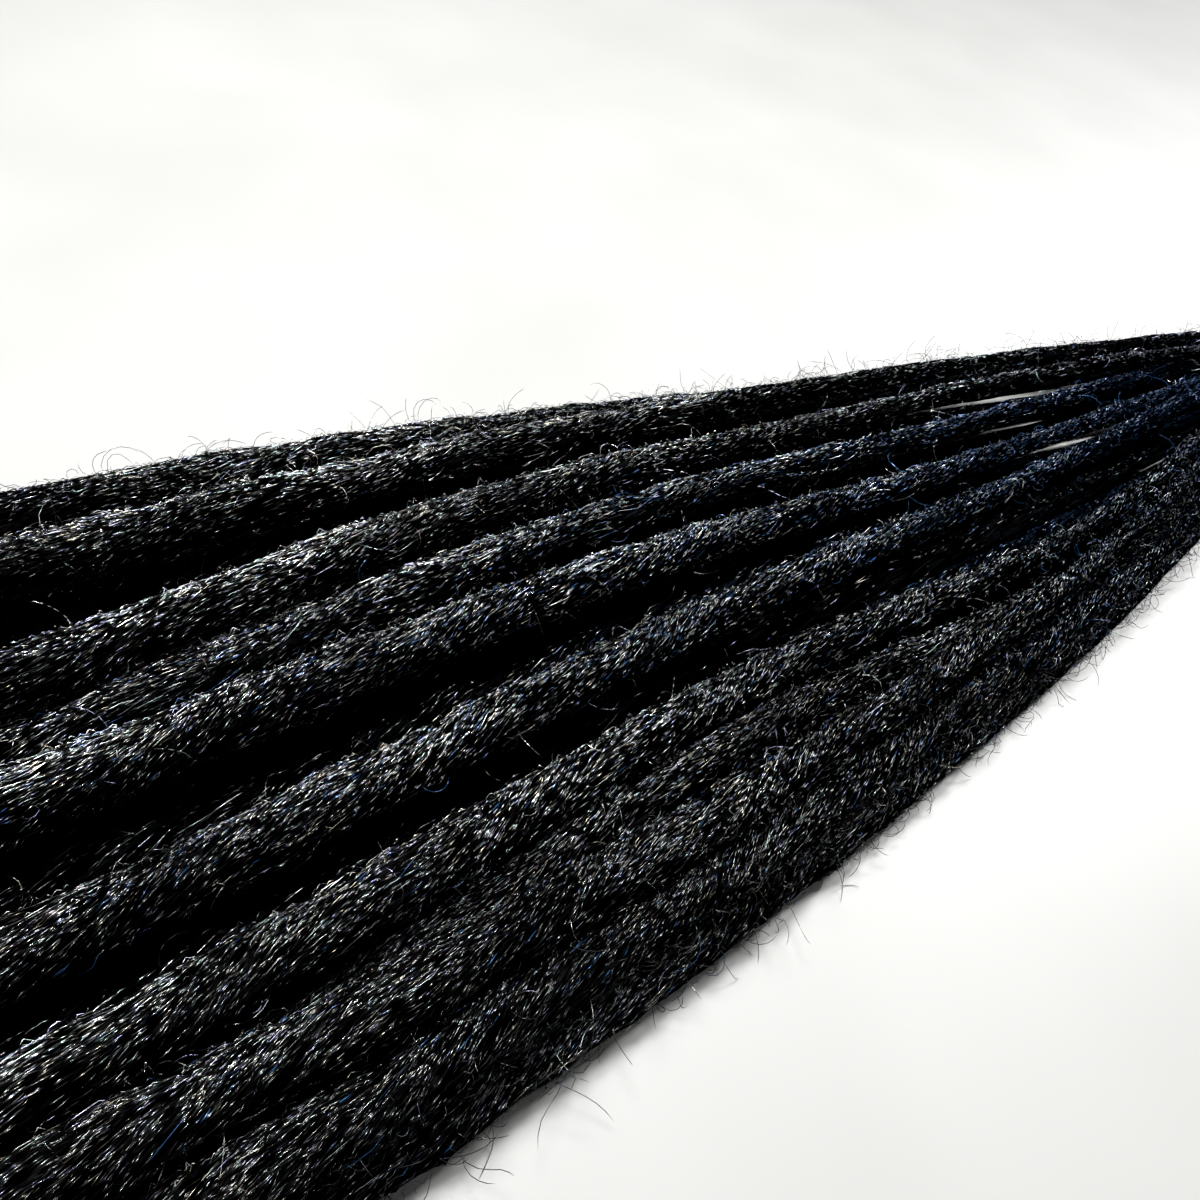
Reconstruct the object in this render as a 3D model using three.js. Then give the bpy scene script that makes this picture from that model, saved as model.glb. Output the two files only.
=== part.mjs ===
import * as THREE from 'three';

// A bundle of loose dreadlock extensions lying on a flat surface.
// Every lock is a thin root, a long swell to full thickness and a blunt tip. The roots are held in a tie,
// and from there the locks fan out and settle on the surface and on each other in about two layers.
// Millimetres. X runs from the tie to the tips, Z is up and the surface is at Z = 0.
// The origin is under the middle of the tie.

// One lock
const LOCK_REACH = 485;
const ROOT_END = 16;
const ROOT_THICK = 4.2;
const BODY_THICK = 9.2;
const TIP_THICK = 4.2;
const SWELL_START = 60;
const SWELL_LENGTH = 320;
const TIP_TAPER = 46;
const LUMP_LENGTH = 118;
const LUMP_DEPTH = 0.3;

// The bundle
const BUNDLE_WIDTH = 127;
const SPREAD_LENGTH = 380;
const CLEARANCE = 0.35;

// The tie
const TIE_WIDTH = 14;
const TIE_WALL = 2;
const TIE_CORNER = 5;

// How the solids are divided, and the length that a stiff lock bridges without sagging
const LOCK_SIDES = 10;
const STATION_STEP = 20;
const CORNER_SEGMENTS = 6;
const BRIDGE_LENGTH = 80;

// The locks, in the order in which they settle, from the bottom of the heap to the top.
// slot: place across the tie, in half steps from its middle, one step being a root and its clearance.
// near, middle, far, tip: place across the bundle at a quarter, half, three quarters and all of the reach,
// as a share of the half width there, -1 and 1 being its two edges.
// thick and long: share of the body thickness and of the reach. lump: where its swellings start, in turns.
const LOCKS = [
  { slot: -3, near: -0.61, middle: -0.64, far: -0.64, tip: -0.63, thick: 1.00, long: 0.97, lump: 0.10 },
  { slot: -1, near: -0.33, middle: -0.31, far: -0.31, tip: -0.33, thick: 0.98, long: 1.00, lump: 0.55 },
  { slot: 1, near: 0.00, middle: 0.03, far: 0.14, tip: 0.14, thick: 1.00, long: 0.98, lump: 0.30 },
  { slot: 3, near: 0.42, middle: 0.39, far: 0.46, tip: 0.46, thick: 1.00, long: 0.96, lump: 0.80 },
  { slot: -4, near: -0.74, middle: -0.82, far: -0.83, tip: -0.81, thick: 1.01, long: 0.99, lump: 0.45 },
  { slot: -2, near: -0.47, middle: -0.48, far: -0.47, tip: -0.47, thick: 0.97, long: 0.98, lump: 0.95 },
  { slot: 0, near: -0.20, middle: -0.13, far: 0.00, tip: 0.00, thick: 1.00, long: 0.97, lump: 0.20 },
  { slot: 2, near: 0.28, middle: 0.22, far: 0.30, tip: 0.29, thick: 0.99, long: 1.00, lump: 0.65 },
  { slot: 4, near: 0.60, middle: 0.68, far: 0.77, tip: 0.76, thick: 0.98, long: 0.98, lump: 0.35 },
  { slot: -5, near: -0.96, middle: -1.00, far: -1.00, tip: -0.99, thick: 1.00, long: 0.98, lump: 0.70 },
  { slot: 5, near: 0.96, middle: 0.94, far: 0.93, tip: 0.92, thick: 0.99, long: 0.97, lump: 0.05 },
  { slot: -3, near: -0.38, middle: -0.34, far: -0.16, tip: -0.18, thick: 1.00, long: 0.99, lump: 0.50 },
  { slot: 3, near: 0.78, middle: 0.57, far: 0.62, tip: 0.62, thick: 0.98, long: 0.97, lump: 0.90 },
  { slot: -1, near: -0.10, middle: -0.09, far: 0.03, tip: 0.05, thick: 1.02, long: 0.98, lump: 0.25 },
  { slot: 1, near: 0.53, middle: 0.44, far: 0.55, tip: 0.54, thick: 1.00, long: 0.99, lump: 0.60 },
  { slot: -4, near: -0.86, middle: -0.77, far: -0.64, tip: -0.61, thick: 1.03, long: 0.98, lump: 0.15 },
  { slot: -2, near: -0.60, middle: -0.51, far: -0.26, tip: -0.25, thick: 1.01, long: 0.97, lump: 0.75 },
  { slot: 0, near: 0.09, middle: 0.17, far: 0.31, tip: 0.33, thick: 1.02, long: 0.99, lump: 0.40 },
  { slot: 4, near: 0.88, middle: 0.86, far: 0.86, tip: 0.85, thick: 1.00, long: 0.98, lump: 0.00 },
  { slot: 2, near: 0.70, middle: 0.75, far: 0.71, tip: 0.70, thick: 0.98, long: 0.96, lump: 0.85 },
];

const LOCK_COLOUR = 0x101114;
const TIE_COLOUR = 0x17181b;

const ROOT_STEP = ROOT_THICK + CLEARANCE;
const TIE_EDGE = TIE_WIDTH / 2;
const BUNCH_WIDTH = Math.max(...LOCKS.map((lock) => lock.slot)) * ROOT_STEP + ROOT_THICK;
const FLAT = Math.cos(Math.PI / LOCK_SIDES);

function ease(share) {
  const t = THREE.MathUtils.clamp(share, 0, 1);
  return t * t * (3 - 2 * t);
}

function beyondTie(x) {
  return Math.max(0, x - TIE_EDGE);
}

// Half the width of the bundle at a distance from the tie: it opens quickly at first, then runs level.
function halfWidth(x) {
  const t = Math.min(1, beyondTie(x) / SPREAD_LENGTH);
  return (BUNCH_WIDTH + (BUNDLE_WIDTH - BUNCH_WIDTH) * Math.sin(t * Math.PI / 2)) / 2;
}

// Radius of a lock before its tip is tapered, with the soft swellings of felted hair.
function bodyRadius(lock, x) {
  const swell = ease((x - SWELL_START) / SWELL_LENGTH);
  const lump = LUMP_DEPTH * Math.sin(2 * Math.PI * (x / LUMP_LENGTH + lock.lump));
  const full = BODY_THICK * lock.thick + lump;
  return (ROOT_THICK + (full - ROOT_THICK) * swell) / 2;
}

function tipX(lock) {
  return LOCK_REACH * lock.long;
}

// Place of a lock across the bundle. Through and behind the tie it keeps its slot.
function across(lock, x) {
  const slotPlace = lock.slot * ROOT_STEP / BUNCH_WIDTH;
  const places = [slotPlace, lock.near, lock.middle, lock.far, lock.tip];
  const curve = new THREE.SplineCurve(places.map((place, i) => new THREE.Vector2(i, place)));
  const along = Math.min(1, beyondTie(x) / (LOCK_REACH - TIE_EDGE));
  return curve.getPoint(along).y * halfWidth(x);
}

// Lowest centre of a lock: its flat side on the surface, or on the tie's wall where it is tied.
function restHeight(lock, x) {
  const overTie = (TIE_WALL + CLEARANCE) * (1 - ease((x - TIE_WIDTH) / SWELL_START));
  return bodyRadius(lock, x) * FLAT + overTie;
}

// Places along the bundle where the locks are settled on each other.
const stations = [-ROOT_END, -TIE_EDGE];
for (let x = TIE_EDGE; x < LOCK_REACH + STATION_STEP; x += STATION_STEP) {
  stations.push(x);
}

// Heights at which a lock clears every settled lock under it, at each station.
function clearHeights(lock, settled) {
  return stations.map((x, i) => {
    let height = restHeight(lock, x);
    for (const below of settled) {
      const reach = bodyRadius(lock, x) + bodyRadius(below.lock, x) + CLEARANCE;
      const aside = across(lock, x) - across(below.lock, x);
      const present = x < tipX(below.lock) + STATION_STEP;
      if (present && Math.abs(aside) < reach) {
        height = Math.max(height, below.heights[i] + Math.sqrt(reach * reach - aside * aside));
      }
    }
    return height;
  });
}

// A stiff lock bridges the dips under it: the highest heights nearby, averaged over the same length.
function bridge(heights) {
  const nearby = (list, i) => list.filter((_, j) => Math.abs(stations[j] - stations[i]) <= BRIDGE_LENGTH / 2);
  const highest = heights.map((_, i) => Math.max(...nearby(heights, i)));
  return heights.map((_, i) => {
    const list = nearby(highest, i);
    return list.reduce((sum, height) => sum + height, 0) / list.length;
  });
}

function settleLocks() {
  const settled = [];
  for (const lock of LOCKS) {
    settled.push({ lock, heights: bridge(clearHeights(lock, settled)) });
  }
  return settled;
}

function heightAt(heights, x) {
  const after = stations.findIndex((station) => station > x);
  if (after <= 0) return heights[after === 0 ? 0 : heights.length - 1];
  const share = (x - stations[after - 1]) / (stations[after] - stations[after - 1]);
  return THREE.MathUtils.lerp(heights[after - 1], heights[after], share);
}

// Sections along one lock: a rounded root end, the stations, then the tapered blunt tip.
function lockSections(lock, heights) {
  const end = tipX(lock);
  const root = ROOT_THICK / 2;
  const body = stations.slice(1).filter((x) => x < end - TIP_TAPER - STATION_STEP / 2);
  const tipShare = TIP_THICK / BODY_THICK;
  const taper = [
    { along: 0, share: 1 },
    { along: 0.5, share: (1 + tipShare) / 2 + 0.14 },
    { along: 0.85, share: tipShare + 0.14 },
    { along: 0.97, share: tipShare },
    { along: 1, share: tipShare / 2 },
  ];
  const sections = [
    { x: -ROOT_END, radius: root / 2 },
    { x: -ROOT_END + root / 2, radius: root },
    ...body.map((x) => ({ x, radius: bodyRadius(lock, x) })),
    ...taper.map(({ along, share }) => {
      const x = end - TIP_TAPER * (1 - along);
      return { x, radius: bodyRadius(lock, x) * share };
    }),
  ];
  return sections.map(({ x, radius }) => ({
    x,
    y: across(lock, x),
    z: heightAt(heights, x) - (bodyRadius(lock, x) - radius) * FLAT,
    radius,
  }));
}

// A closed skin over rings of points along X, with a flat cap at both ends.
function skin(rings) {
  const sides = rings[0].length;
  const faces = [];
  for (let ring = 0; ring < rings.length - 1; ring += 1) {
    for (let side = 0; side < sides; side += 1) {
      const a = ring * sides + side;
      const b = ring * sides + (side + 1) % sides;
      faces.push(a, b, b + sides, a, b + sides, a + sides);
    }
  }
  const last = (rings.length - 1) * sides;
  for (let side = 1; side < sides - 1; side += 1) {
    faces.push(0, side + 1, side);
    faces.push(last, last + side, last + side + 1);
  }
  const geometry = new THREE.BufferGeometry();
  geometry.setAttribute('position', new THREE.Float32BufferAttribute(rings.flat(2), 3));
  geometry.setIndex(faces);
  geometry.computeVertexNormals();
  return geometry;
}

// One lock, with a flat side of its sections underneath.
function lockGeometry(lock, heights) {
  const rings = lockSections(lock, heights).map(({ x, y, z, radius }) => {
    const ring = [];
    for (let side = 0; side < LOCK_SIDES; side += 1) {
      const angle = (side + 0.5) / LOCK_SIDES * 2 * Math.PI - Math.PI / 2;
      ring.push([x, y + radius * Math.cos(angle), z + radius * Math.sin(angle)]);
    }
    return ring;
  });
  return skin(rings);
}

// Outline of a box with round corners, centred across and standing on its base height.
function roundedBox(path, width, base, top, corner) {
  const side = width / 2;
  path.moveTo(-side + corner, base);
  path.lineTo(side - corner, base);
  path.absarc(side - corner, base + corner, corner, -Math.PI / 2, 0);
  path.absarc(side - corner, top - corner, corner, 0, Math.PI / 2);
  path.absarc(-side + corner, top - corner, corner, Math.PI / 2, Math.PI);
  path.absarc(-side + corner, base + corner, corner, Math.PI, Math.PI * 1.5);
  return path;
}

// The tie: one band round the bunch of roots, lying flat on the surface.
function tieGeometry(settled) {
  const crest = Math.max(...settled.flatMap(({ heights }) => [
    heightAt(heights, -TIE_EDGE),
    heightAt(heights, TIE_EDGE),
  ]));
  const innerTop = crest + ROOT_THICK / 2 + CLEARANCE;
  const innerWidth = BUNCH_WIDTH + 2 * CLEARANCE;
  const outerWidth = innerWidth + 2 * TIE_WALL;
  const outline = roundedBox(new THREE.Shape(), outerWidth, 0, innerTop + TIE_WALL, TIE_CORNER + TIE_WALL);
  outline.holes.push(roundedBox(new THREE.Path(), innerWidth, TIE_WALL, innerTop, TIE_CORNER));
  const geometry = new THREE.ExtrudeGeometry(outline, {
    depth: TIE_WIDTH,
    bevelEnabled: false,
    curveSegments: CORNER_SEGMENTS,
  });
  // The outline's across and up become Y and Z, and its depth runs along X.
  geometry.applyMatrix4(new THREE.Matrix4().makeBasis(
    new THREE.Vector3(0, 1, 0),
    new THREE.Vector3(0, 0, 1),
    new THREE.Vector3(1, 0, 0),
  ));
  return geometry.translate(-TIE_EDGE, 0, 0);
}

const settled = settleLocks();
const bundle = new THREE.Group();

const tieMaterial = new THREE.MeshStandardMaterial({ color: TIE_COLOUR, roughness: 0.7, metalness: 0 });
const tie = new THREE.Mesh(tieGeometry(settled), tieMaterial);
tie.name = 'root_tie';
bundle.add(tie);

settled.forEach(({ lock, heights }, i) => {
  const material = new THREE.MeshStandardMaterial({ color: LOCK_COLOUR, roughness: 0.55, metalness: 0 });
  const mesh = new THREE.Mesh(lockGeometry(lock, heights), material);
  mesh.name = `lock_${String(i + 1).padStart(2, '0')}`;
  bundle.add(mesh);
});

export default bundle;
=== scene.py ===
from math import radians

import bmesh
import bpy
import numpy as np
from mathutils import Matrix


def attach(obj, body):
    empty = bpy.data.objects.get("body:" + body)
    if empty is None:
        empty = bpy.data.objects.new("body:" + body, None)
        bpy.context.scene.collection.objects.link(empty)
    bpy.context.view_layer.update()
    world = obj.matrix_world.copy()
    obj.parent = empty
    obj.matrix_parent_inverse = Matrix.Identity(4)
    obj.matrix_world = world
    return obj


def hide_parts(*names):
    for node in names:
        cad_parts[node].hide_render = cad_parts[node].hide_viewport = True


# A bundle of black dreadlock extensions on a pale table. Lengths in the text are in millimetres,
# and MM turns them into the scene's metres. X runs from the tie to the tips, and Z is up.
MM = 0.001
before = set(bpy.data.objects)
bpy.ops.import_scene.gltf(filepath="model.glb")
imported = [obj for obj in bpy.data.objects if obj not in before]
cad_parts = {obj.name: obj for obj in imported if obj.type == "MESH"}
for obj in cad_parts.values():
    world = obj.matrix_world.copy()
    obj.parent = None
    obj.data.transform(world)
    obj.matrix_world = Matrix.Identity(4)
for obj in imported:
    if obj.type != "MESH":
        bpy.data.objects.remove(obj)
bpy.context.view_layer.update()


# Camera
# A hand-held phone camera, close over the swelling part of the bundle. It looks down at 50 degrees,
# back towards the far side of the tie, and is turned 17 degrees about its own line of sight.
CAMERA_PLACE = (335.66, 70.81, 132.0)
CAMERA_DOWN = 50.0
CAMERA_ASIDE = 46.087
CAMERA_ROLL = 17.0
SENSOR_WIDTH = 36
LENS = 26.1
camera_data = bpy.data.cameras.new("phone_camera")
camera_data.sensor_width = SENSOR_WIDTH
camera_data.lens = LENS
camera_data.clip_start = 5 * MM
camera = bpy.data.objects.new("phone_camera", camera_data)
bpy.context.scene.collection.objects.link(camera)
camera.matrix_world = (
    Matrix.Translation([place * MM for place in CAMERA_PLACE])
    @ Matrix.Rotation(radians(90 + CAMERA_ASIDE), 4, "Z")
    @ Matrix.Rotation(radians(90 - CAMERA_DOWN), 4, "X")
    @ Matrix.Rotation(radians(CAMERA_ROLL), 4, "Z")
)
bpy.context.scene.camera = camera


# The matted cores of the locks
# Each lock is a rope of crimped modacrylic fibre, crocheted until it felts together: thin and smooth at
# the root, swelling to a soft uneven rope, and closed at a blunt tip. The core is its dense inside,
# a little slimmer than the solid it stands for, because the loose fibres lie on it.
CORE_SHARE = 0.945
CORE_STEP = 3.5
CORE_SIDES = 16
LINE_SMOOTHING = 9
TIP_ROUNDING = 2.4
FLOOR_GAP = 0.12
# The felt's unevenness: waves of these lengths, none on the smooth root and all of them on the rope.
RIPPLES = 9
RIPPLE_LENGTHS = (8, 46)
RIPPLE_SHARE = 0.036
SMOOTH_ROOT = 14
ROOT_TO_ROPE = 60
# A lock rests on the table while its middle is lower than so many of its radii, on the near and on the far
# side of the bundle. Its sides are then pressed out into the gap to a neighbour of about its own height.
RESTS_NEAR = 2.8
RESTS_FAR = 2.1
REST_FADE = 0.8
WIDEST_SQUASH = 4.6
SQUASH_INTO = 0.2
SQUASH_SMOOTHING = 12
LEVEL_WITH = 0.9
BULGE_TOP = 0.7
BULGE_POWER = 1.3
# Locks 10 to 20 lie on top. Some locks have blue hair, which fades out over BLUE_REACH from the roots.
TOP_LOCKS = range(10, 21)
BLUE_LOCKS = (3, 4, 12, 14, 18)
BLUE_REACH = 150
MOST_BLUE = 0.9
# How the hairs on the core are combed: their slant in degrees, their pitch, and how wide each shows. The
# pitch is about ten times the real one, so that it shows. COMBED_RADIUS and COMBED_APART lay out the
# coordinates of the pattern, in which each lock is a straight tube beside the others.
COMB_SLANT = (-25.0, -9.0)
HAIR_PITCH = 0.8
HAIR_RUN = 5.0
HAIR_LINE = 0.12
HAIR_RELIEF = 0.12
CROSSING_SLANT = 0.3
CROSSING_RUN = 3.6
TUFT_RUN = 6.0
TUFT_WIDTH = 1.2
TUFT_RELIEF = 0.8
COMBED_RADIUS = 4.5
COMBED_APART = 20


def linear(code):
    """An sRGB hex colour as linear RGBA."""
    shares = [int(code[i : i + 2], 16) / 255 for i in (1, 3, 5)]
    linear_shares = [s / 12.92 if s <= 0.04045 else ((s + 0.055) / 1.055) ** 2.4 for s in shares]
    return linear_shares + [1]


def add_node(material, kind, settings=None, links=None, stops=()):
    """Adds a node. Settings are its properties or its sockets' values, links feed its sockets, and stops
    are a colour ramp's places and colours."""
    node = material.node_tree.nodes.new(kind)
    for key, value in (settings or {}).items():
        if isinstance(key, str) and hasattr(node, key):
            setattr(node, key, value)
        else:
            node.inputs[key].default_value = value
    for key, source in (links or {}).items():
        material.node_tree.links.new(source, node.inputs[key])
    elements = node.color_ramp.elements if stops else []
    while len(elements) < len(stops):
        elements.new(0.5)
    for element, (place, code) in zip(elements, stops):
        element.position = place
        element.color = linear(code)
    return node


def new_material(name):
    """A material with an empty node tree."""
    material = bpy.data.materials.new(name)
    material.use_nodes = True
    material.node_tree.nodes.clear()
    return material


def smoothed(line, reach):
    """A line of values, one each millimetre, as a weighted running mean over reach to either side."""
    window = np.hanning(2 * reach + 1)
    return np.convolve(np.pad(line, reach, mode="edge"), window / window.sum(), mode="valid")


def read_lock(name, number):
    """The lock's middle line, radius and own unevenness, from the rings of its solid."""
    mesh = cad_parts[name].data
    points = np.empty(len(mesh.vertices) * 3)
    mesh.vertices.foreach_get("co", points)
    points = np.unique((points.reshape(-1, 3) / MM).round(3), axis=0)
    places = points[:, 0].round(1)
    rings = []
    for place in np.unique(places):
        ring = points[places == place]
        middle = ring.mean(axis=0)
        rings.append((*middle, np.hypot(*(ring - middle)[:, 1:].T).max()))
    rings = np.array(rings)
    x = np.arange(rings[0, 0], rings[-1, 0] + 0.5, 1.0)
    y, z, radius = (
        smoothed(np.interp(x, rings[:, 0], rings[:, column]), LINE_SMOOTHING) for column in (1, 2, 3)
    )
    chance = np.random.default_rng(100 + number)
    return {
        "name": name,
        "number": number,
        "x": x,
        "y": y,
        "z": z,
        "radius": radius,
        "start": rings[0, 0],
        "end": rings[-1, 0],
        "turns": chance.integers(0, 4, RIPPLES),
        "lengths": np.geomspace(*RIPPLE_LENGTHS, RIPPLES) * chance.uniform(0.85, 1.15, RIPPLES),
        "phases": chance.uniform(0, 2 * np.pi, RIPPLES),
        "slant": chance.uniform(*COMB_SLANT),
        "blue": 1.0 if number in BLUE_LOCKS else chance.uniform(0.05, 0.3),
    }


def squash_together(lock, locks):
    """Works out how far each side of a lock on the table is pressed out towards its neighbour."""
    rests_below = RESTS_NEAR if lock["y"].mean() > 0 else RESTS_FAR
    resting = np.clip((rests_below - lock["z"] / lock["radius"]) / REST_FADE, 0, 1)
    for side in ("left", "right"):
        slack = np.full(len(lock["x"]), 2 * WIDEST_SQUASH)
        found = np.zeros(len(lock["x"]), bool)
        for other in locks:
            if other is lock:
                continue
            place = {key: np.interp(lock["x"], other["x"], other[key]) for key in ("y", "z", "radius")}
            touch = lock["radius"] + place["radius"]
            drop = np.abs(place["z"] - lock["z"]) / touch
            aside = (place["y"] - lock["y"]) * (1 if side == "left" else -1)
            near = (aside > 0) & (drop < LEVEL_WITH) & (lock["x"] < other["end"])
            room = aside - touch * np.sqrt(np.clip(1 - drop**2, 0, 1))
            slack = np.where(near, np.minimum(slack, room), slack)
            found |= near
        squash = np.where(found, np.clip(slack / 2 + SQUASH_INTO, 0, WIDEST_SQUASH), 0) * resting
        lock[side] = smoothed(squash, SQUASH_SMOOTHING)


def on_lock(lock, x, turn, lift=0.0):
    """Points at x and at an angle round the lock, lift above its matted surface, in millimetres."""
    radius = np.interp(x, lock["x"], lock["radius"])
    low = np.clip((BULGE_TOP - np.sin(turn)) / BULGE_TOP, 0, 1)
    left = np.interp(x, lock["x"], lock["left"]) * np.clip(np.cos(turn), 0, 1) ** BULGE_POWER
    right = np.interp(x, lock["x"], lock["right"]) * np.clip(-np.cos(turn), 0, 1) ** BULGE_POWER
    ripple = 0.0
    for turns, length, phase in zip(lock["turns"], lock["lengths"], lock["phases"]):
        weight = (length / RIPPLE_LENGTHS[1]) ** 0.45
        ripple = ripple + np.sin(2 * np.pi * x / length + turns * turn + phase) * weight
    loose = np.clip((x - SMOOTH_ROOT) / ROOT_TO_ROPE, 0, 1)
    reach = radius * CORE_SHARE * (1 + RIPPLE_SHARE * ripple * loose) + (left + right) * low + lift
    y = np.interp(x, lock["x"], lock["y"]) + reach * np.cos(turn)
    z = np.interp(x, lock["x"], lock["z"]) + reach * np.sin(turn)
    return np.stack([x + 0 * turn, y, np.maximum(z, FLOOR_GAP)], axis=-1)


def hair_lines(material, combed, slant, run, pitch):
    """Thin lines that run along the hairs: where a noise drawn out along them crosses its middle."""
    apart = add_node(material, "ShaderNodeSeparateXYZ", links={"Vector": combed.outputs["Vector"]})
    twist = add_node(
        material,
        "ShaderNodeMath",
        {"operation": "MULTIPLY", 1: slant / COMBED_RADIUS},
        {0: apart.outputs["X"]},
    )
    turned = add_node(
        material,
        "ShaderNodeVectorRotate",
        {"rotation_type": "X_AXIS"},
        {"Vector": combed.outputs["Vector"], "Angle": twist.outputs["Value"]},
    )
    place = add_node(
        material,
        "ShaderNodeMapping",
        {"Scale": (1 / run, 1 / pitch, 1 / pitch)},
        {"Vector": turned.outputs["Vector"]},
    )
    noise = add_node(
        material,
        "ShaderNodeTexNoise",
        {"Scale": 1.0, "Detail": 1.0, "Roughness": 0.5, "Distortion": 0.3},
        {"Vector": place.outputs["Vector"]},
    )
    middle = add_node(
        material, "ShaderNodeMath", {"operation": "SUBTRACT", 1: 0.5}, {0: noise.outputs["Fac"]}
    )
    away = add_node(material, "ShaderNodeMath", {"operation": "ABSOLUTE"}, {0: middle.outputs["Value"]})
    return add_node(
        material,
        "ShaderNodeMapRange",
        {
            "interpolation_type": "SMOOTHSTEP",
            "From Min": 0.0,
            "From Max": HAIR_LINE,
            "To Min": 1.0,
            "To Max": 0.0,
        },
        {"Value": away.outputs["Value"]},
    )


def matted_hair():
    """Felted modacrylic: black dyed plastic fibre, combed at a slant, in tufts of many crimped hairs. It
    is near black and has no shine of its own, because all the light comes back from the hairs on it."""
    material = new_material("modacrylic fibre, felted")
    combed = add_node(material, "ShaderNodeAttribute", {"attribute_name": "combed"})
    fine = hair_lines(material, combed, 0.0, HAIR_RUN, HAIR_PITCH)
    crossing = hair_lines(material, combed, CROSSING_SLANT, CROSSING_RUN, HAIR_PITCH * 0.8)
    both = add_node(
        material,
        "ShaderNodeMath",
        {"operation": "MAXIMUM"},
        {0: fine.outputs["Result"], 1: crossing.outputs["Result"]},
    )
    tuft_place = add_node(
        material,
        "ShaderNodeMapping",
        {"Scale": (1 / TUFT_RUN, 1 / TUFT_WIDTH, 1 / TUFT_WIDTH)},
        {"Vector": combed.outputs["Vector"]},
    )
    tufts = add_node(
        material,
        "ShaderNodeTexNoise",
        {"Scale": 1.0, "Detail": 2.0, "Roughness": 0.55, "Distortion": 0.6},
        {"Vector": tuft_place.outputs["Vector"]},
    )
    thinned = add_node(
        material,
        "ShaderNodeMapRange",
        {"From Min": 0.35, "From Max": 0.6, "To Min": 0.15, "To Max": 1.0},
        {"Value": tufts.outputs["Fac"]},
    )
    hairs = add_node(
        material,
        "ShaderNodeMath",
        {"operation": "MULTIPLY"},
        {0: both.outputs["Value"], 1: thinned.outputs["Result"]},
    )
    black = add_node(
        material,
        "ShaderNodeValToRGB",
        links={"Fac": hairs.outputs["Value"]},
        stops=[(0.0, "#000000"), (0.6, "#000000"), (1.0, "#030303")],
    )
    blue = add_node(
        material,
        "ShaderNodeValToRGB",
        links={"Fac": hairs.outputs["Value"]},
        stops=[(0.0, "#000000"), (0.6, "#000001"), (1.0, "#040E1A")],
    )
    dye = add_node(material, "ShaderNodeAttribute", {"attribute_name": "blue"})
    colour = add_node(
        material,
        "ShaderNodeMix",
        {"data_type": "RGBA"},
        {0: dye.outputs["Fac"], 6: black.outputs["Color"], 7: blue.outputs["Color"]},
    )
    gloss = add_node(
        material,
        "ShaderNodeMapRange",
        {"From Min": 0.4, "From Max": 0.9, "To Min": 0.95, "To Max": 0.25},
        {"Value": hairs.outputs["Value"]},
    )
    tuft_relief = add_node(
        material,
        "ShaderNodeBump",
        {"Strength": 1.0, "Distance": TUFT_RELIEF * MM},
        {"Height": tufts.outputs["Fac"]},
    )
    hair_relief = add_node(
        material,
        "ShaderNodeBump",
        {"Strength": 1.0, "Distance": HAIR_RELIEF * MM},
        {"Height": hairs.outputs["Value"], "Normal": tuft_relief.outputs["Normal"]},
    )
    shader = add_node(
        material,
        "ShaderNodeBsdfPrincipled",
        {"IOR": 1.5, "Specular IOR Level": 0.0},
        {
            "Base Color": colour.outputs[2],
            "Roughness": gloss.outputs["Result"],
            "Normal": hair_relief.outputs["Normal"],
        },
    )
    add_node(material, "ShaderNodeOutputMaterial", links={"Surface": shader.outputs["BSDF"]})
    return material


def blue_share(lock, x):
    """Blue hair was crocheted in at the roots: much of it in some locks, and hardly any in others."""
    fading = np.exp(-((np.maximum(x, 0) / BLUE_REACH) ** 1.5))
    return np.clip(fading * lock["blue"], 0, MOST_BLUE)


def core_mesh(lock, name):
    """A sheet rolled round the lock's middle line, drawn together at both ends and joined at its edges."""
    rows = int((lock["end"] - lock["start"]) / CORE_STEP)
    bm = bmesh.new()
    bmesh.ops.create_grid(bm, x_segments=rows, y_segments=CORE_SIDES, size=1)
    mesh = bpy.data.meshes.new(name)
    bm.to_mesh(mesh)
    bm.free()
    flat = np.empty(len(mesh.vertices) * 3)
    mesh.vertices.foreach_get("co", flat)
    flat = flat.reshape(-1, 3)
    row = np.rint((flat[:, 0] + 1) / 2 * rows)
    turn = (flat[:, 1] + 1) * np.pi
    share = np.clip((row - 1) / (rows - 2), 0, 1)
    x = lock["start"] + (lock["end"] - lock["start"]) * share
    points = on_lock(lock, x, turn)
    middle = np.stack(
        [x, np.interp(x, lock["x"], lock["y"]), np.interp(x, lock["x"], lock["z"])], axis=-1
    )
    closing = np.clip((lock["end"] - x) / TIP_ROUNDING, 0, 1)
    closing = np.sqrt(1 - (1 - closing) ** 2)
    closing[(row == 0) | (row == rows)] = 0
    points = middle + (points - middle) * closing[:, None]
    slanted = turn - np.tan(np.radians(lock["slant"])) / COMBED_RADIUS * x
    aside = COMBED_APART * lock["number"]
    combed = np.stack(
        [x, COMBED_RADIUS * np.cos(slanted), COMBED_RADIUS * np.sin(slanted) + aside], axis=-1
    )
    mesh.vertices.foreach_set("co", (points * MM).ravel())
    attribute = mesh.attributes.new("combed", "FLOAT_VECTOR", "POINT")
    attribute.data.foreach_set("vector", combed.ravel())
    attribute = mesh.attributes.new("blue", "FLOAT", "POINT")
    attribute.data.foreach_set("value", blue_share(lock, x))
    bm = bmesh.new()
    bm.from_mesh(mesh)
    bmesh.ops.remove_doubles(bm, verts=bm.verts, dist=0.002 * MM)
    bmesh.ops.recalc_face_normals(bm, faces=bm.faces)
    for face in bm.faces:
        face.smooth = True
    bm.to_mesh(mesh)
    bm.free()
    return mesh


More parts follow.
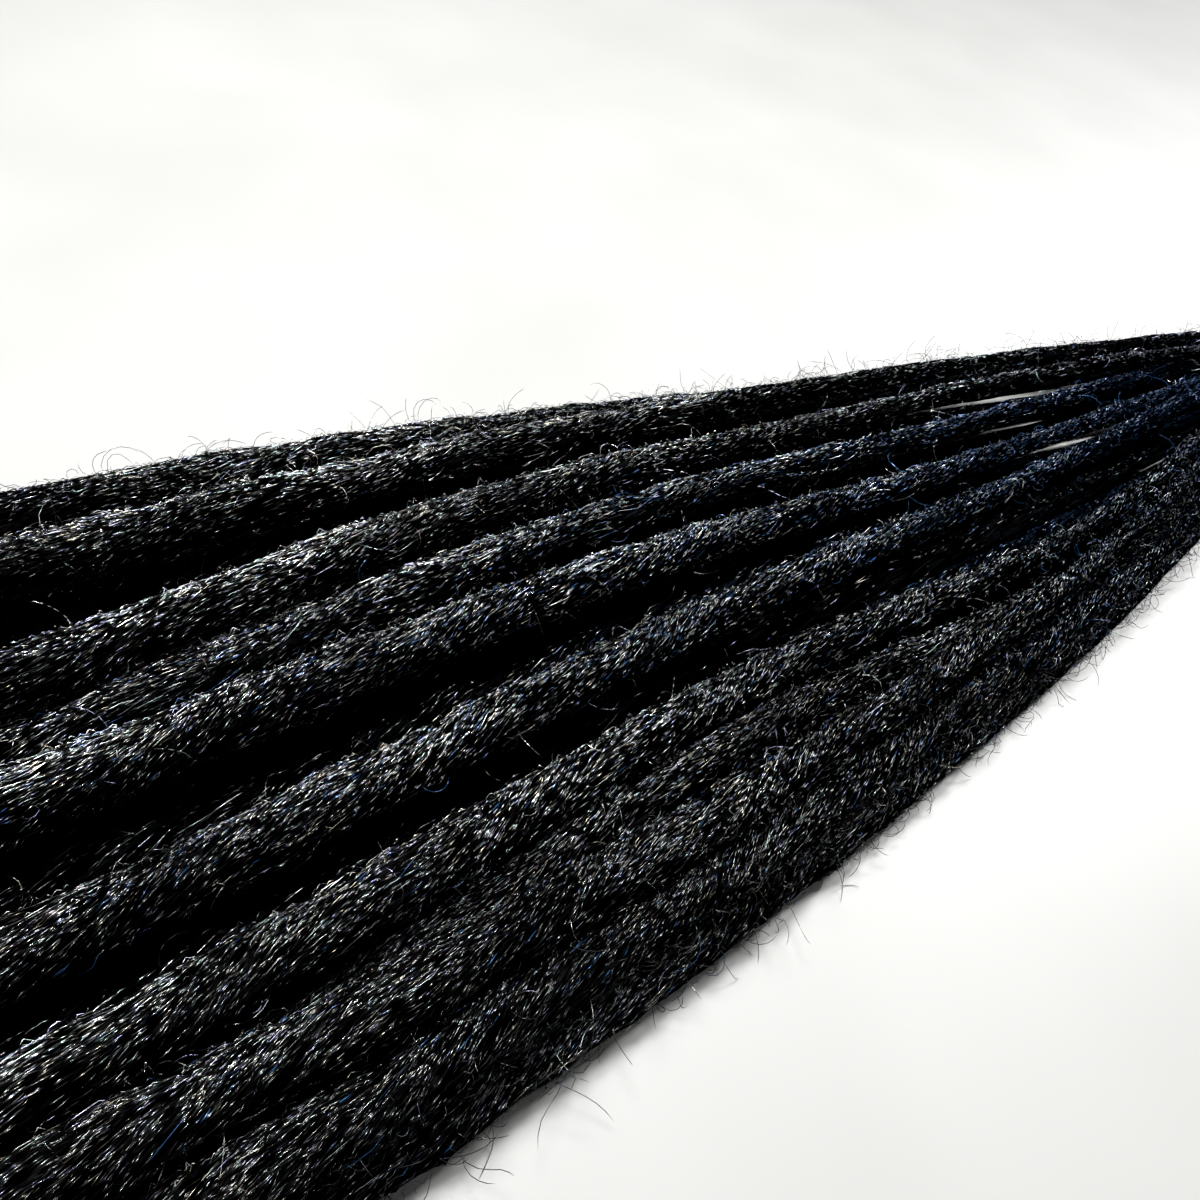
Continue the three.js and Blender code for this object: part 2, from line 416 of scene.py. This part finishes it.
def add_piece(name, mesh, material):
    """Puts a mesh in the scene as a piece of the bundle."""
    mesh.materials.append(material)
    piece = bpy.data.objects.new(name, mesh)
    bpy.context.scene.collection.objects.link(piece)
    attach(piece, "root")
    return piece


felted = matted_hair()
locks = [read_lock(f"lock_{n:02d}", n) for n in range(1, 21)]
for lock in locks:
    squash_together(lock, locks)
for lock in locks:
    name = f"felted_core_{lock['number']:02d}"
    core = add_piece(name, core_mesh(lock, name), felted)
    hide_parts(lock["name"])


# Loose fibres on the locks
# Crimped hairs that have worked out of the felt. Most show for 2 to 4 mm, where they rise out of it and
# dive back, some run on along the lock, and some stand clear in small curls, which makes the outline fuzzy.
# Real ones are 0.07 mm thick; they are drawn at about one and a half times that, so that they show.
HAIR_THICK = 0.115
# How many hairs a lock on top and one below have at most, and each hair's points, length and rise.
FLAT_HAIRS = {"top": 7600, "below": 600, "stations": 3, "lengths": (1.3, 3.4), "rise": 0.06}
SHORT_HAIRS = {"top": 3600, "below": 500, "stations": 3, "lengths": (1.8, 4.6), "rise": 0.3}
LONG_HAIRS = {"top": 450, "below": 200, "stations": 4, "lengths": (4.5, 10.0), "rise": 0.3}
FLAT_LIFT = 0.05
# Flyaways: their number for a lock at the outline, another on top and one below, and their curl.
FLYAWAYS = {"edge": 900, "top": 320, "below": 15}
EDGE_LOCKS = (10, 11, 16, 19)
ON_EDGE = 0.7
FLYAWAY_STATIONS = 7
LONGEST_STEP = 1.7
CURL = (0.2, 0.95)
FIRST_FLYAWAY = 20
LAST_FLYAWAY = 3
# A lock swells over SWELL_LENGTH from SWELL_START on, to about FULL_RADIUS, and its hairs lie close at the
# root and are loosest from LOOSEST on.
SWELL_START = 80
SWELL_LENGTH = 220
FULL_RADIUS = 4.6
LOOSEST = 250
# Waves along the lock: tufts where hairs lie denser, bands where they swerve by some degrees, and patches
# where more of them shine. A single hair strays from the combed slant by about STRAY_SLANT degrees.
TUFT_WAVES = (31, 9, 57)
SWERVE_WAVE = 43
SWERVE = 9
STRAY_SLANT = 7
GLOSS_WAVES = (83, 27)
# A hair's batch is a number from 0 to 1: brown-blacks and blacks up to BLACKS, and blues from BLUES. The
# # blacks are cooler over COOL_REACH from the roots, and towards the tips the hairs are made a little
# duller,
# # a painted shade on that end of the bundle.
BLACKS = 0.7
BLUES = 0.75
COOL_REACH = 210
PAINTED_SHADE_START = 240
PAINTED_SHADE_LENGTH = 90
# Each lock's gloss, which also holds painted shade and painted light. The duller locks, most of them at the
# # near edge, are partly a real difference between locks and partly painted shade. Those of the lower layer
# # shine more, a painted light, because less light reaches them.
LOCK_GLOSS_AND_PAINTED_SHADE = {10: 0.8, 11: 0.45, 12: 0.95, 13: 0.6, 16: 0.85, 17: 0.95, 19: 0.42, 20: 0.65}
GLOSS_ABOVE = 1.0
GLOSS_BELOW_PAINTED_LIGHT = 1.5
# A hair's crimps, which catch the light in short stretches, and the patches that have been handled more.
CRIMP_RUN = 2.2
CRIMP_WIDTH = 0.45
HANDLED_PATCH = 3
# The width of a thread is laid across it, seen from near this direction.
FROM_ABOVE = (0.05, 0.1, 1.0)


def glossy_hair():
    """Single modacrylic hairs: smooth black plastic, with some from a blue and from a brown-black batch.
    Each stands for two or three real hairs, so its gloss is set above the plastic's own, and it shines
    in short stretches, as a crimped hair does where it faces the light. The gloss each hair carries on its
    points also holds painted light: a painted highlight on the crests, and painted shade on some locks and
    towards the tips."""
    material = new_material("modacrylic fibre, combed")
    dye = add_node(material, "ShaderNodeAttribute", {"attribute_name": "dye"})
    colour = add_node(
        material,
        "ShaderNodeValToRGB",
        links={"Fac": dye.outputs["Fac"]},
        stops=[
            (0.0, "#030202"),
            (0.2, "#010101"),
            (0.4, "#020202"),
            (0.7, "#010102"),
            (1.0, "#0A1D32"),
        ],
    )
    sheen = add_node(
        material,
        "ShaderNodeValToRGB",
        links={"Fac": dye.outputs["Fac"]},
        stops=[
            (0.0, "#FFF3D8"),
            (0.2, "#FFFFFF"),
            (0.35, "#D4F2EC"),
            (0.5, "#FFFFFF"),
            (0.7, "#C6CAFF"),
            (1.0, "#98B6E2"),
        ],
    )
    place = add_node(material, "ShaderNodeTexCoord")
    handled = add_node(
        material,
        "ShaderNodeTexNoise",
        {"Scale": 1 / (HANDLED_PATCH * MM), "Detail": 1.0},
        {"Vector": place.outputs["Object"]},
    )
    gloss = add_node(
        material,
        "ShaderNodeMapRange",
        {"From Min": 0.3, "From Max": 0.7, "To Min": 0.26, "To Max": 0.38},
        {"Value": handled.outputs["Fac"]},
    )
    bend_place = add_node(
        material,
        "ShaderNodeMapping",
        {"Scale": (1 / (CRIMP_RUN * MM), 1 / (CRIMP_WIDTH * MM), 1 / (CRIMP_WIDTH * MM))},
        {"Vector": place.outputs["Object"]},
    )
    bends = add_node(
        material,
        "ShaderNodeTexNoise",
        {"Scale": 1.0, "Detail": 0.0},
        {"Vector": bend_place.outputs["Vector"]},
    )
    facing = add_node(
        material,
        "ShaderNodeMapRange",
        {"From Min": 0.4, "From Max": 0.52},
        {"Value": bends.outputs["Fac"]},
    )
    # Each hair's gloss, which also holds painted light: a painted highlight on the crests, and painted shade
    # on some locks and towards the tips.
    gloss_with_painted_light = add_node(material, "ShaderNodeAttribute", {"attribute_name": "gloss"})
    share = add_node(
        material,
        "ShaderNodeMath",
        {"operation": "MULTIPLY"},
        {0: facing.outputs["Result"], 1: gloss_with_painted_light.outputs["Fac"]},
    )
    glints = add_node(
        material,
        "ShaderNodeMix",
        {"data_type": "RGBA", 6: (0, 0, 0, 1)},
        {0: share.outputs["Value"], 7: sheen.outputs["Color"]},
    )
    shader = add_node(
        material,
        "ShaderNodeBsdfPrincipled",
        {"IOR": 2.4, "Specular IOR Level": 1.0},
        {
            "Base Color": colour.outputs["Color"],
            "Specular Tint": glints.outputs[2],
            "Roughness": gloss.outputs["Result"],
        },
    )
    add_node(material, "ShaderNodeOutputMaterial", links={"Surface": shader.outputs["BSDF"]})
    return material


def threads(paths, thick, look):
    """Three-sided threads, pointed at both ends, along paths (threads, stations, xyz)."""
    count, stations, _ = paths.shape
    along = np.gradient(paths, axis=1)
    along /= np.linalg.norm(along, axis=2, keepdims=True) + 1e-9
    side = np.cross(along, FROM_ABOVE)
    side /= np.linalg.norm(side, axis=2, keepdims=True) + 1e-9
    over = np.cross(side, along)
    angles = np.radians([90, 210, 330])
    rim = (
        np.cos(angles)[:, None] * side[:, 1:-1, None, :] + np.sin(angles)[:, None] * over[:, 1:-1, None, :]
    ) * (thick / 2)
    rings = (paths[:, 1:-1, None, :] + rim).reshape(count, -1, 3)
    points = np.concatenate([paths[:, :1], rings, paths[:, -1:]], axis=1)
    last = points.shape[1] - 1
    triangles = []
    for edge in range(3):
        after = (edge + 1) % 3
        triangles.append((0, 1 + after, 1 + edge))
        for ring in range(stations - 3):
            here, onward = 1 + 3 * ring, 4 + 3 * ring
            triangles.append((here + edge, here + after, onward + after))
            triangles.append((here + edge, onward + after, onward + edge))
        triangles.append((last, last - 3 + edge, last - 3 + after))
    faces = np.array(triangles)[None] + (np.arange(count) * (last + 1))[:, None, None]
    return points.reshape(-1, 3), faces.reshape(-1, 3), np.repeat(look, last + 1, axis=0)


def slivers(paths, thick, look):
    """The shortest and flattest hairs, as a four-sided sliver each: two tips and the width at the middle."""
    along = paths[:, 2] - paths[:, 0]
    side = np.cross(along, FROM_ABOVE)
    side *= thick / 2 / (np.linalg.norm(side, axis=1, keepdims=True) + 1e-9)
    points = np.stack([paths[:, 0], paths[:, 2], paths[:, 1] + side, paths[:, 1] - side], axis=1)
    triangles = np.array([(0, 3, 2), (1, 2, 3), (0, 2, 1), (0, 1, 3)])
    faces = triangles[None] + (np.arange(len(paths)) * 4)[:, None, None]
    return points.reshape(-1, 3), faces.reshape(-1, 3), np.repeat(look, 4, axis=0)


def joined(name, batches):
    """One mesh of several batches of threads, with each hair's dye and gloss kept on its points."""
    starts = np.cumsum([0] + [len(points) for points, _, _ in batches[:-1]])
    points = np.concatenate([points for points, _, _ in batches])
    faces = np.concatenate([faces + start for (_, faces, _), start in zip(batches, starts)])
    mesh = bpy.data.meshes.new(name)
    mesh.vertices.add(len(points))
    mesh.vertices.foreach_set("co", (points * MM).ravel())
    mesh.loops.add(faces.size)
    mesh.loops.foreach_set("vertex_index", faces.ravel())
    mesh.polygons.add(len(faces))
    mesh.polygons.foreach_set("loop_start", np.arange(0, faces.size, 3))
    mesh.polygons.foreach_set("use_smooth", np.ones(len(faces), bool))
    looks = np.concatenate([look for _, _, look in batches])
    for key, values in zip(("dye", "gloss"), looks.T):
        attribute = mesh.attributes.new(key, "FLOAT", "POINT")
        attribute.data.foreach_set("value", values)
    mesh.update(calc_edges=True)
    return mesh


def swelling(x):
    """0 at a lock's thin root and 1 where it is at its full thickness."""
    return np.clip((x - SWELL_START) / SWELL_LENGTH, 0, 1)


def looks_of(lock, chance, x, turn):
    """Each hair's batch and gloss. Towards the roots the blacks are cooler and fewer hairs are glossy.
    Those on the lock's crest, its upper side, get the most gloss, a painted highlight where the light
    falls on them."""
    blue = chance.random(len(x)) < blue_share(lock, x)
    black = chance.uniform(0, BLACKS, len(x))
    black += (BLACKS - black) * np.clip(1 - x / COOL_REACH, 0, 0.8)
    dye = np.where(blue, chance.uniform(BLUES, 1, len(x)), black)
    # Painted highlight: hairs on the upper side of the lock are made glossier, as if lit from above.
    painted_crest_highlight = 0.42 + 0.58 * np.clip(np.sin(turn - 0.2), 0, 1) ** 2
    patch = 0.95 + 0.3 * np.sin(2 * np.pi * x / GLOSS_WAVES[0] + lock["phases"][3])
    patch += 0.2 * np.sin(2 * np.pi * x / GLOSS_WAVES[1] + turn + lock["phases"][4])
    # Painted shade: the hairs towards the tips are made duller, to darken that end of the bundle.
    patch *= 1 - 0.25 * np.clip((x - PAINTED_SHADE_START) / PAINTED_SHADE_LENGTH, 0, 1)
    # Painted shade and light per lock: duller locks at the near edge, and more gloss on the shaded lower
    # layer.
    most = LOCK_GLOSS_AND_PAINTED_SHADE.get(lock["number"], GLOSS_ABOVE if lock["number"] in TOP_LOCKS else GLOSS_BELOW_PAINTED_LIGHT)
    gloss = most * chance.random(len(x)) ** (1.6 - 0.7 * swelling(x)) * painted_crest_highlight * patch
    return np.stack([dye, gloss], axis=1)


def on_the_felt(lock, chance, count, hairs):
    """Paths of hairs that lie on the felt, more of them on its upper side, and the look of each."""
    rise = hairs["rise"]
    tries = count * 6
    x = chance.uniform(lock["start"] + 2, lock["end"] - 2, tries)
    turn = chance.uniform(0, 2 * np.pi, tries)
    radius = np.interp(x, lock["x"], lock["radius"])
    broad, fine, widest = (2 * np.pi * x / length for length in TUFT_WAVES)
    clump = np.sin(broad + 2 * turn + lock["phases"][0]) * np.sin(fine - turn)
    clump = clump + 0.8 * np.sin(widest + lock["phases"][1])
    swollen = swelling(x)
    upward = np.clip(np.sin(turn - 0.1), 0, 1) ** (8.0 - 5.6 * swollen)
    dense = 0.17 + 0.95 * upward * (0.8 + 0.25 * clump)
    dense *= (0.1 + 0.9 * radius / FULL_RADIUS) * (0.8 + 0.2 * swollen)
    keep = chance.random(tries) < dense
    x, turn = x[keep][:count], turn[keep][:count]
    count = len(x)
    share = np.linspace(-1, 1, hairs["stations"])
    shortest, longest = hairs["lengths"]
    half = chance.uniform(shortest / 2, longest / 2, (count, 1)) * (0.42 + 0.58 * swelling(x[:, None]))
    loose = np.clip(x[:, None] / LOOSEST, 0.3, 1)
    swerve = SWERVE * np.sin(2 * np.pi * x[:, None] / SWERVE_WAVE + turn[:, None] + lock["phases"][2])
    slant = np.radians(lock["slant"] + swerve + chance.normal(0, STRAY_SLANT, (count, 1))) * loose
    height = chance.gamma(1.2, rise, (count, 1)) * loose
    wave = chance.normal(0, rise * 0.7, (count, hairs["stations"])) * loose
    places = np.clip(x[:, None] + half * share * np.cos(slant), lock["start"] + 0.3, lock["end"] - 0.6)
    local = np.interp(places, lock["x"], lock["radius"])
    turns = turn[:, None] + (half * share * np.sin(slant) + wave * 0.4) / (local + 0.2)
    lifts = height * (1 - 1.5 * share**2) + wave * 0.1
    return on_lock(lock, places, turns, lifts), looks_of(lock, chance, x, turn)


def flyaway(lock, chance, count):
    """Paths of hairs that leave the felt outwards and curl back over it, and the look of each."""
    reach = lock["end"] - (FIRST_FLYAWAY + LAST_FLYAWAY)
    x = FIRST_FLYAWAY + reach * chance.random(count) ** 1.25
    outer_side = 0 if lock["y"].mean() > 0 else np.pi
    on_edge = (lock["number"] in EDGE_LOCKS) & (chance.random(count) < ON_EDGE)
    turn = np.where(on_edge, outer_side + chance.normal(0, 0.6, count), chance.uniform(0, 2 * np.pi, count))
    out = np.stack([0 * x, np.cos(turn), np.sin(turn)], axis=-1)
    along_more = [1.4, 0.6, 0.6]
    heading = out * chance.uniform(0.5, 1.6, (count, 1)) + chance.normal(0, 0.7, (count, 3)) * along_more
    heading /= np.linalg.norm(heading, axis=1, keepdims=True)
    axis = np.cross(heading, -out) + chance.normal(0, 0.35, (count, 3))
    axis /= np.linalg.norm(axis, axis=1, keepdims=True)
    step = np.minimum(chance.gamma(3.0, 0.24, (count, 1)) + 0.25, LONGEST_STEP)
    bend = chance.uniform(*CURL, (count, 1))
    point = on_lock(lock, x, turn, -0.1)
    path = [point]
    for _ in range(FLYAWAY_STATIONS - 1):
        point = point + heading * step
        path.append(point)
        heading = (
            heading * np.cos(bend)
            + np.cross(axis, heading) * np.sin(bend)
            + axis * (axis * heading).sum(axis=1, keepdims=True) * (1 - np.cos(bend))
        )
        axis = axis + chance.normal(0, 0.15, (count, 3))
        axis /= np.linalg.norm(axis, axis=1, keepdims=True)
    path = np.stack(path, axis=1)
    path[:, :, 2] = np.maximum(path[:, :, 2], FLOOR_GAP + 0.1)
    return path, looks_of(lock, chance, x, turn)


combed_hair = glossy_hair()
for lock in locks:
    chance = np.random.default_rng(1000 + lock["number"])
    level = "top" if lock["number"] in TOP_LOCKS else "below"
    outline = "edge" if lock["number"] in EDGE_LOCKS else level
    flat, flat_look = on_the_felt(lock, chance, FLAT_HAIRS[level], FLAT_HAIRS)
    short, short_look = on_the_felt(lock, chance, SHORT_HAIRS[level], SHORT_HAIRS)
    long, long_look = on_the_felt(lock, chance, LONG_HAIRS[level], LONG_HAIRS)
    loose, loose_look = flyaway(lock, chance, FLYAWAYS[outline])
    name = f"loose_fibres_{lock['number']:02d}"
    batches = [
        slivers(flat + [0, 0, FLAT_LIFT], HAIR_THICK * 1.1, flat_look),
        threads(short, HAIR_THICK, short_look),
        threads(long, HAIR_THICK, long_look),
        threads(loose, HAIR_THICK * 0.95, loose_look),
    ]
    add_piece(name, joined(name, batches), combed_hair)


# The tie
# A wide band of black rubber that holds the root ends together. It is plain, so it keeps its CAD shape
# and gets only its material.
RUBBER_GRAIN = 0.6
RUBBER_RELIEF = 0.08


def moulded_rubber():
    """Black rubber with a fine matt grain. It is near black, because the lights are stronger than real."""
    material = new_material("rubber, moulded")
    place = add_node(material, "ShaderNodeTexCoord")
    grain = add_node(
        material,
        "ShaderNodeTexNoise",
        {"Scale": 1 / (RUBBER_GRAIN * MM), "Detail": 3.0},
        {"Vector": place.outputs["Object"]},
    )
    relief = add_node(
        material,
        "ShaderNodeBump",
        {"Strength": 0.5, "Distance": RUBBER_RELIEF * MM},
        {"Height": grain.outputs["Fac"]},
    )
    colour = add_node(
        material,
        "ShaderNodeValToRGB",
        links={"Fac": grain.outputs["Fac"]},
        stops=[(0.3, "#010101"), (0.7, "#030304")],
    )
    shader = add_node(
        material,
        "ShaderNodeBsdfPrincipled",
        {"Roughness": 0.6, "IOR": 1.52, "Specular IOR Level": 0.03},
        {"Base Color": colour.outputs["Color"], "Normal": relief.outputs["Normal"]},
    )
    add_node(material, "ShaderNodeOutputMaterial", links={"Surface": shader.outputs["BSDF"]})
    return material


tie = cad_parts["root_tie"]
tie.data.materials.clear()
tie.data.materials.append(moulded_rubber())


# The table and the light
# A laminate table top. A soft ceiling light stands over the far edge of the bundle, a second one far off
# behind the tie, and a weak window light on the near side. They are stronger than real ones, so that black
# hair shows its glints, and the laminate is a dark grey that looks white under them.
TABLE_HALF = 3000 * MM
BUNDLE_MIDDLE = (250 * MM, 0, 0)
laminate = new_material("laminate, satin white")
place = add_node(laminate, "ShaderNodeTexCoord")
wear = add_node(
    laminate, "ShaderNodeTexNoise", {"Scale": 14.0, "Detail": 2.0}, {"Vector": place.outputs["Object"]}
)
tone = add_node(
    laminate,
    "ShaderNodeValToRGB",
    links={"Fac": wear.outputs["Fac"]},
    stops=[(0.3, "#4C4C4B"), (0.7, "#4F4F4E")],
)
top = add_node(
    laminate,
    "ShaderNodeBsdfPrincipled",
    {"Roughness": 0.5, "IOR": 1.45, "Specular IOR Level": 0.12},
    {"Base Color": tone.outputs["Color"]},
)
add_node(laminate, "ShaderNodeOutputMaterial", links={"Surface": top.outputs["BSDF"]})
bm = bmesh.new()
bmesh.ops.create_grid(bm, x_segments=1, y_segments=1, size=TABLE_HALF)
table_mesh = bpy.data.meshes.new("table_top")
bm.to_mesh(table_mesh)
bm.free()
table_mesh.materials.append(laminate)
table = bpy.data.objects.new("table_top", table_mesh)
bpy.context.scene.collection.objects.link(table)


def soft_light(name, towards, distance, size, power):
    """A soft light that shines on the middle of the bundle, from a direction and a distance in metres."""
    data = bpy.data.lights.new(name, "AREA")
    data.shape = "RECTANGLE"
    data.size, data.size_y = size
    data.energy = power
    light = bpy.data.objects.new(name, data)
    bpy.context.scene.collection.objects.link(light)
    towards = np.array(towards) / np.linalg.norm(towards)
    across = np.cross([0, 0, 1], towards)
    across /= np.linalg.norm(across)
    up = np.cross(towards, across)
    place = np.array(BUNDLE_MIDDLE) + towards * distance
    light.matrix_world = Matrix(
        [[across[i], up[i], towards[i], place[i]] for i in range(3)] + [[0, 0, 0, 1]]
    )


soft_light("ceiling_light", (0.07, -0.34, 0.92), 0.75, (0.18, 0.18), 50.0)
soft_light("second_light", (-0.72, -0.15, 0.66), 2.0, (0.32, 0.32), 190.0)
soft_light("window_light", (-0.2, 0.75, 0.6), 1.2, (0.25, 0.25), 10.0)
world = bpy.data.worlds.new("room")
world.use_nodes = True
background = world.node_tree.nodes["Background"]
background.inputs["Color"].default_value = linear("#E8ECF2")
background.inputs["Strength"].default_value = 0.006
bpy.context.scene.world = world
bpy.context.scene.view_settings.view_transform = "Standard"
